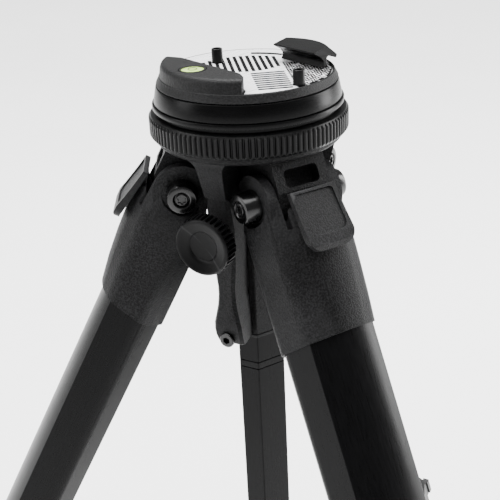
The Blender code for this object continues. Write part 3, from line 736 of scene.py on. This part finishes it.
def build_jaw():
    """Hooked jaw on a narrow neck: an undercut tip towards the seat and a drooping outer lip."""
    low, high = JAW_SPAN
    rings = []
    for i in range(JAW_STATIONS + 1):
        share = i / JAW_STATIONS
        bow = JAW_BOW * (1.0 - (2.0 * share - 1.0) ** 2)
        outline = [
            (22.1, 0.3), (21.5, 1.6), (21.3, 3.0), (22.1, 4.5), (26.3 + bow, 2.9), (27.0 + bow, 4.0),
            (22.0 + bow, 8.0), (15.4, 6.7), (15.3, 6.2), (18.7, 4.2), (19.8, 2.7), (19.7, 1.5), (19.0, 0.3),
        ]
        soft = rounded(outline, [0, 1.5, 1.2, 0.9, 0.3, 0.5, 0.5, 0.2, 0.2, 1.0, 0.9, 0.9, 0], 4)
        rings.append([(low + (high - low) * share, y, PLATE_Z + z) for y, z in soft])
    place("hooked_jaw", loft(rings), "ring", PLATFORM, "jaw", ["hook_jaw"], bevel=0.25)


# ---------------------------------------------------------------- apex

def lug_mesh():
    """The apex's lug between one leg's ears, with a window in its outer side."""
    nose = arc(10.6, -160, -8, 24)
    outline = nose + [(12.0, 0.8), (12.0, 15.0), (-10.0, 26.0), (-16.0, 12.0)]
    lug = side_prism(outline, -LUG_HALF, LUG_HALF)
    window = rounded([(-7.2, 2.2), (7.2, 2.2), (7.2, 8.8), (-7.2, 8.8)], [1.6] * 4, 5)
    window = moved(prism(window, 7.0, 17.0), FACING_X)
    return cut(lug, window, cylinder(PIVOT_BORE_R, (0, -30, 0), (0, 30, 0)))


def rib_mesh():
    """A rib under the flange, midway between two lugs."""
    rings = []
    for level, half, reach in ((-28.0, 4.4, 28.6), (-20.0, 5.0, 30.8), (-16.5, 5.3, 31.7), (-14.5, 5.8, 32.2),
                               (-13.0, 6.7, 32.8), (-11.8, 8.0, 33.3), (APEX_TOP_Z - 0.5, 9.8, 34.2)):
        rings.append([(2.0, -half, level), (reach, -half, level), (reach, half, level), (2.0, half, level)])
    return loft(rings)


def tongue_mesh():
    """The sleeve's thick spine behind the knob and the clamp screw."""
    rings = []
    for level, half, reach in ((SLEEVE_LOW_Z, 5.2, 22.4), (-90.5, 6.0, 24.4), (-88.0, 6.2, 25.4),
                               (-85.0, 6.2, 26.0), (-82.0, 6.0, 26.2), (-78.0, 5.0, 26.0),
                               (-74.0, 4.2, 25.8), (-70.0, 3.8, 25.6), (-66.0, 3.8, 25.6),
                               (-56.0, 4.8, 25.8), (-40.0, 5.6, 26.6), (-28.0, 4.8, 28.2)):
        root = min(half, 3.2)
        rings.append([(9.0, -root, level), (reach - 1.2, -half, level), (reach, -half + 1.2, level),
                      (reach, half - 1.2, level), (reach - 1.2, half, level), (9.0, root, level)])
    return loft(rings)


def build_apex():
    sleeve = prism(column_outline(2.7), SLEEVE_LOW_Z, APEX_TOP_Z)
    flange = lathe([(0.0, -12.2), (33.5, -12.2), (34.8, -11.6), (35.4, -11.0), (35.6, -10.4),
                    (35.6, APEX_TOP_Z), (0.0, APEX_TOP_Z)], 128)
    solid = join(sleeve, flange, *copies_round(rib_mesh(), (0, 120, 240)))
    solid = join(solid, *copies_round(tongue_mesh(), (KNOB_AZ,)))
    above = block((-60, -60, APEX_TOP_Z - 1.0), (60, 60, 60))
    lug = lug_mesh()
    for side in SIDES:
        local = HEAD.inverted() @ LEG[side]
        local.translation = local.translation / MM
        solid = join(solid, cut(moved(lug.copy(), local), above.copy()))
    radial = [cylinder(3.4, (0, 0, KNOB_Z), (40, 0, KNOB_Z), 40),
              cylinder(2.4, (16, 0, SCREW_Z), (40, 0, SCREW_Z), 24)]
    solid = cut(solid, prism(column_outline(1.6), SLEEVE_LOW_Z - 5, 5),
                *[turned(cutter, KNOB_AZ) for cutter in radial])
    place("apex_body", solid, "casting", HEAD, "apex", ["apex_casting"], bevel=0.45)

    tube = prism(column_outline(1.3), SLEEVE_LOW_Z - GAP, SLEEVE_LOW_Z + 14)
    flange = prism(column_outline(2.8), SLEEVE_LOW_Z - 1.6, SLEEVE_LOW_Z - GAP)
    sleeve = cut(join(tube, flange), prism(column_outline(0.3), SLEEVE_LOW_Z - 9, SLEEVE_LOW_Z + 20))
    place("guide_sleeve", sleeve, "plastic", HEAD, "apex", ["column_bushing"], bevel=0.15)

    outward = Matrix.Rotation(math.radians(KNOB_AZ), 4, "Z")
    tip = Matrix.Rotation(math.radians(90), 4, "Y")
    wave = (0.0, 0.0, 0.0, 0.5, 1.0, 1.0, 0.5)
    knob = lathe([
        (0.0, -27.0), (3.0, -27.0), (3.0, -13.4), (5.0, -13.2), (5.4, -7.4), (10.4, -7.2), (10.8, -6.9),
        (11.4, -6.2, 1.0), (11.4, -1.9, 1.0), (11.1, -1.1, 0.1), (10.9, -0.5), (10.4, -0.05), (9.9, 0.0),
        (9.5, -0.15), (8.6, -0.5), (7.2, -0.95), (6.2, -1.25), (5.9, -1.5), (5.6, -1.85), (4.6, -2.0),
        (2.4, -2.1), (0.0, -2.17),
    ], ribs=36, wave=wave)
    spot = HEAD @ outward @ Matrix.Translation(Vector((KNOB_FACE_R, 0, KNOB_Z)) * MM) @ tip
    place("knurled_knob", knob, "knob", spot, "knob", ["column_lock_knob"], angle=40)
    spot = HEAD @ outward @ Matrix.Translation(Vector((SCREW_X, 0, SCREW_Z)) * MM) @ tip
    head = lathe([(0.0, -6.0), (2.0, -6.0), (2.0, -0.6), (3.1, -0.6), (3.1, 0.5), (2.8, 0.85),
                  (0.0, 0.85)], 48)
    hexagon = prism(arc(1.5, 0, 300, 5), -1.2, 3)
    place("clamp_screw", cut(head, hexagon), "blacksteel", spot, "apex", ["sleeve_screw"], bevel=0.1)


# ---------------------------------------------------------------- column

def build_column():
    inner = prism(column_outline(-1.5), COLUMN_LOW_Z - 5, APEX_TOP_Z + 5)
    pieces = (
        ("column_tube_upper", "column_upper", BAND_TOP_Z + GAP, APEX_TOP_Z, "tube"),
        ("column_joint_band", "column_band", BAND_TOP_Z - BAND_H, BAND_TOP_Z, "drum"),
        ("column_tube_lower", "column_lower", COLUMN_LOW_Z, BAND_TOP_Z - BAND_H - GAP, "tube"),
    )
    for name, node, low, high, material in pieces:
        tube = cut(prism(column_outline(), low, high), inner.copy())
        place(name, tube, material, HEAD, "column", [node], bevel=0.25)
    cap = prism(column_outline(1.2), COLUMN_LOW_Z - 9.0, COLUMN_LOW_Z - GAP)
    cap = cut(cap, cylinder(3.2, (0, 0, COLUMN_LOW_Z - 12), (0, 0, COLUMN_LOW_Z - 5)))
    place("column_foot_cap", cap, "plastic", HEAD, "column", ["column_end_cap"], bevel=0.7, segments=3)


# ---------------------------------------------------------------- legs

def collar_ring(levels, apex_x, crease, flank, heel, toe):
    """One ring of the collar's skin, with its levels at the outer face, the flank and the inside."""
    outer, side, inner = levels
    crease_x, crease_y = crease
    rise = apex_x - crease_x
    radius = (crease_y ** 2 + rise ** 2) / (2 * rise)
    half = math.degrees(math.asin(crease_y / radius))
    right = [flank, heel, toe]
    steps = 12
    bow = arc(radius, -0.5 * half, 0.5 * half, steps, (apex_x - radius, 0.0))
    bow = [(crease_x, -crease_y)] + bow + [(crease_x, crease_y)]
    corner = [8.0] + [0.0] * (steps + 1) + [8.0]
    outline = rounded(bow + right + [(x, -y) for x, y in reversed(right)],
                      corner + [4.0, 2.4, 1.5, 1.5, 2.4, 4.0], steps)
    ring = []
    for x, y in outline:
        if x >= flank[0]:
            level = side + (outer - side) * (x - flank[0]) / (apex_x - flank[0])
        else:
            level = side + (inner - side) * min(1.0, (flank[0] - x) / (flank[0] - heel[0]))
        ring.append((x, y, level))
    return ring


def collar_mesh():
    """Leg collar: a flared skin with sloping ear facets above a crease, ears, pocket and socket."""
    rings = [
        collar_ring((-52.6, -55.8, -57.6), 13.0, (8.4, 15.5), (-6.2, 20.0), (-11.2, 15.2), (-15.9, 9.9)),
        collar_ring((-42.0, -42.5, -43.0), 14.5, (9.0, 15.9), (-6.3, 20.0), (-11.3, 15.1), (-15.8, 10.2)),
        collar_ring((-30.0, -29.0, -31.0), 15.5, (9.2, 16.3), (-6.4, 20.0), (-11.5, 15.1), (-15.6, 10.6)),
        collar_ring((-18.6, -7.6, -15.0), 16.0, (9.4, 16.6), (-6.4, 20.0), (-11.6, 15.0), (-15.6, 10.8)),
        collar_ring((-0.6, 1.6, -5.0), 15.0, (9.0, 15.9), (-6.0, 16.4), (-10.4, 13.8), (-14.0, 10.8)),
    ]
    solid = loft(rings)
    for side in (-1, 1):
        solid = join(solid, cylinder(EAR_R, (0, side * 11.0, 0), (0, side * EAR_SPAN[1], 0), 96))
    pocket = cylinder(13.8, (0, -EAR_SPAN[0], 0), (0, EAR_SPAN[0], 0), 96)
    throat = block((-20, -EAR_SPAN[0], 0), (13.7, EAR_SPAN[0], 40))
    heel = block((-30, -EAR_SPAN[0], -11), (-2, EAR_SPAN[0], 30))
    solid = cut(solid, pocket, throat, heel, cylinder(PIVOT_BORE_R, (0, -40, 0), (0, 40, 0)))
    bed = [(12.6, 30), (12.6, -4.0), (14.4, -6.5), (15.0, -9.5), (16.5, -17.0), (16.9, -20.5),
           (16.9, -24.0), (40.0, -24.0), (40.0, 30.0)]
    solid = cut(solid, side_prism(bed, -10.4, 10.4))
    for side in (-1, 1):
        near, far = sorted((side * 10.3, side * EAR_SPAN[0]))
        solid = cut(solid, block((10.8, near, -12.0), (30.0, far, 4.0)))
        solid = cut(solid, cylinder(7.9, (0, side * EAR_SPAN[1], 0), (0, side * 30, 0), 96))
    return cut(solid, prism(leg_outline(GAP), COLLAR_LOW_Z - 5, -20.0))


def bolt_mesh():
    """Blackened bushing at each end of the pivot, with a recessed star-drive bolt."""
    half = [(0.0, STAR_BOLT_Y), (2.6, STAR_BOLT_Y), (2.9, 21.5), (3.1, 22.0), (3.4, 22.2), (4.8, 22.2),
            (5.3, 21.95), (5.6, 21.3), (5.9, 18.6), (6.2, EAR_SPAN[1] + GAP), (4.0, EAR_SPAN[1] + GAP)]
    profile = half + [(r, -z) for r, z in reversed(half)]
    return turned(lathe(profile, 72), 90, "X")


def star_mesh():
    """A bolt end with a six-lobed socket, facing +Y."""
    lobes = []
    for i in range(48):
        angle = 2 * math.pi * i / 48
        reach = 1.45 + 0.28 * math.cos(6 * angle)
        lobes.append((reach * math.cos(angle), reach * math.sin(angle)))
    head = lathe([(0.0, 0.0), (2.35, 0.0), (2.35, 0.8), (2.1, 1.0), (0.0, 1.0)], 48)
    return turned(cut(head, prism(lobes, 0.3, 3)), -90, "X")


def tube_mesh(grow, low, high):
    """A hollow leg tube."""
    inner = prism(leg_outline(grow - TUBE_WALL), low - 5, high + 5)
    return cut(prism(leg_outline(grow), low, high), inner)


def clamp_mesh(grow, low, high):
    """A clamp round a tube's end, narrowing to the next tube, with two knuckles for its lever."""
    split = low + 10.0
    body = prism(leg_outline(grow + 2.4), low, high)
    x, y = LEVER_HINGE[0] + grow, LEVER_HINGE[1]
    for start, end in ((low + 4.0, low + 6.7), (high - 6.7, high - 4.0)):
        knuckle = cylinder(2.2, (x, y, start), (x, y, end), 40)
        web = block((x - 6.0, y - 2.0, start), (x, y + 2.0, end))
        body = join(body, join(knuckle, web))
    body = cut(body, prism(leg_outline(grow + GAP), split, high + 5))
    return cut(body, prism(leg_outline(grow - TUBE_STEP + 0.4), low - 5, split + 1))


def lever_mesh(grow, low, high):
    """A curved lever between the knuckles, with a lip to pull it open."""
    inner = leg_outline(grow + 3.0)
    outer = leg_outline(grow + 5.4)
    band = cut(prism(outer, low + 7.0, high - 7.0), prism(inner, low, high))
    x, y = LEVER_HINGE[0] + grow, LEVER_HINGE[1]
    band = keep(band, block((5.0, -15.2, low), (40, y, high)))
    knuckle = cylinder(2.2, (x, y, low + 7.0), (x, y, high - 7.0), 40)
    grip = block((13.0 + grow, -16.0, low + 7.0), (15.6 + grow, -12.5, high - 7.0))
    return join(band, knuckle, grip)


def tab_mesh():
    """Angle tab with a sunk flat panel between its raised, rounded edges."""
    outline = [
        (14.2, 0.2), (14.5, -2.4), (15.7, -9.0), (17.0, -16.6), (17.6, -20.4), (17.3, -22.8), (19.2, -22.6),
        (20.4, -20.6), (20.3, -17.4), (18.6, -11.0), (17.0, -4.0), (16.2, 0.2),
    ]
    plan = [(-9.6, 0.5), (-10.0, -22.6), (10.0, -22.6), (9.6, 0.5)]
    face = moved(prism(rounded(plan, [0.8, 5.6, 5.6, 0.8], 12), 5.0, 30.0), FACING_X)
    solid = keep(side_prism(outline, -10.0, 10.0), face)
    panel = rounded([(-7.9, -16.8), (7.9, -16.8), (8.2, -0.9), (-8.2, -0.9)], [3.0, 3.0, 1.2, 1.2], 8)
    lean = Matrix.Identity(4)
    lean[0][2] = -0.246             # the panel's slope, outward as it goes down
    lean[0][3] = 15.5               # its distance out at the hinge
    return cut(solid, moved(moved(prism(panel, 0.0, 9.0), FACING_X), lean))


def foot_mesh(grow):
    """A round-ended foot with a socket for the lowest tube."""
    outline = leg_outline(grow + 1.55)
    length = FOOT_TOP_Z - FOOT_LOW_Z - 0.6
    steps = 16
    rings = []
    for i in range(steps + 1):
        share = i / steps
        scale = 1.0 if share <= 0.5 else math.sqrt(max(0.0, 1.0 - ((share - 0.5) / 0.52) ** 2))
        rings.append([(x * scale, y * scale, FOOT_TOP_Z - share * length) for x, y in outline])
    return cut(loft(rings), prism(leg_outline(grow + GAP), FOOT_TOP_Z - 8.0, FOOT_TOP_Z + 5))


def build_legs():
    middle, inner = -TUBE_STEP, -2 * TUBE_STEP
    star = star_mesh()
    # name, CAD node, mesh, finish, body and bevel
    rows = (
        ("pivot_bushing", "pivot_bolt", bolt_mesh(), "blacksteel", "apex", 0.0),
        ("leg_collar", "collar", collar_mesh(), "casting", "leg_{}", 0.5),
        ("leg_tube_outer", "tube_outer",
         tube_mesh(0.0, UPPER_CLAMP[0] + TUBE_INTO_CLAMP, OUTER_TOP_Z), "tube", "leg_{}", 0.15),
        ("clamp_housing_upper", "clamp_upper", clamp_mesh(0.0, *UPPER_CLAMP), "plastic", "leg_{}", 0.4),
        ("leg_tube_middle", "tube_middle",
         tube_mesh(middle, LOWER_CLAMP[0] + TUBE_INTO_CLAMP, MIDDLE_TOP_Z), "tube",
         "section_middle_{}", 0.15),
        ("clamp_housing_lower", "clamp_lower", clamp_mesh(middle, *LOWER_CLAMP), "plastic",
         "section_middle_{}", 0.4),
        ("leg_tube_lower", "tube_lower",
         tube_mesh(inner, FOOT_TOP_Z - 7.7, LOWER_TOP_Z), "tube", "section_lower_{}", 0.15),
        ("rubber_foot", "foot", foot_mesh(inner), "rubber", "section_lower_{}", 0.4),
        ("angle_stop", "angle_tab", tab_mesh(), "tab", "tab_{}", 0.45),
        ("flip_lever_upper", "lever_upper", lever_mesh(0.0, *UPPER_CLAMP), "ring", "lever_upper_{}", 0.35),
        ("flip_lever_lower", "lever_lower", lever_mesh(middle, *LOWER_CLAMP), "ring", "lever_lower_{}", 0.35),
    )
    for side in SIDES:
        for name, node, mesh, material, body, bevel in rows:
            place(f"{name}_{side}", mesh, material, LEG[side], body.format(side), [f"{node}_{side}"], bevel,
                  sharp=15 if node == "collar" else 28, baked=material in ("plastic", "rubber", "ring"))
        for end, turn in (("a", 0.0), ("b", math.pi)):
            spot = LEG[side] @ Matrix.Rotation(turn, 4, "Z") @ Matrix.Translation((0, STAR_BOLT_Y * MM, 0))
            place(f"star_bolt_{side}_{end}", star, "blacksteel", spot, "apex", bevel=0.12)


# ---------------------------------------------------------------- studio

def soft_light(name, centre, aim, size, power):
    """A rectangular area light turned towards a point."""
    lamp = bpy.data.lights.new(name, "AREA")
    lamp.shape = "RECTANGLE"
    lamp.size, lamp.size_y = size
    lamp.energy = power
    obj = bpy.data.objects.new(name, lamp)
    bpy.context.scene.collection.objects.link(obj)
    obj.location = centre
    obj.rotation_euler = (Vector(aim) - Vector(centre)).to_track_quat("-Z", "Y").to_euler()


def build_studio():
    """A pale floor, an even sky, three softboxes and a broad overhead light."""
    n = Nodes("studio_floor")
    drift = n.noise(2.0)
    tone = n.ramp(drift, [(0.3, (0.90, 0.90, 0.90)), (0.7, (0.94, 0.94, 0.94))])
    material = n.finish(tone, n.spread(drift, 0.88, 0.95))
    bm = bmesh.new()
    bmesh.ops.create_grid(bm, x_segments=2, y_segments=2, size=60.0)
    floor = bpy.data.objects.new("floor", finish_mesh(bm, "floor"))
    floor.data.materials.append(material)
    bpy.context.scene.collection.objects.link(floor)

    world = bpy.data.worlds.new("studio")
    world.use_nodes = True
    sky = world.node_tree.nodes["Background"]
    sky.inputs["Color"].default_value = (1.0, 1.0, 1.0, 1.0)
    sky.inputs["Strength"].default_value = 0.5
    bpy.context.scene.world = world
    centre = HEAD.translation
    soft_light("left_softbox", centre + Vector((-1.1, -0.1, 0.6)), centre, (0.5, 1.2), 13)
    soft_light("right_softbox", centre + Vector((1.2, 0.3, 0.3)), centre, (0.45, 1.2), 30)
    soft_light("top_softbox", centre + Vector((-0.15, 0.5, 1.2)), centre, (0.8, 0.6), 34)
    overhead = bpy.data.lights.new("overhead", "SUN")
    overhead.energy = 7.5
    overhead.angle = math.radians(70)
    sun = bpy.data.objects.new("overhead", overhead)
    bpy.context.scene.collection.objects.link(sun)


def build_camera():
    """The photograph's viewing direction, aimed a little below the head."""
    turn = Matrix.Rotation(math.radians(-1.16), 4, "Z")
    eye = turn @ Vector((0, -373.8, 112.3))
    target = turn @ Vector((-2.1, 0, -60.5))
    forward = (target - eye).normalized()
    right = forward.cross(Vector((0, 0, 1))).normalized()
    up = right.cross(forward)
    roll = math.radians(-2.888)
    right, up = (math.cos(roll) * right + math.sin(roll) * up,
                 -math.sin(roll) * right + math.cos(roll) * up)
    data = bpy.data.cameras.new("camera")
    data.lens = 73.35
    data.sensor_width = 36.0
    camera = bpy.data.objects.new("camera", data)
    bpy.context.scene.collection.objects.link(camera)
    camera.matrix_world = axes_frame(HEAD.translation + eye * MM, right, up, -forward)
    bpy.context.scene.camera = camera


build_studio()
build_camera()
build_head()
build_apex()
build_column()
build_legs()
bpy.context.view_layer.update()
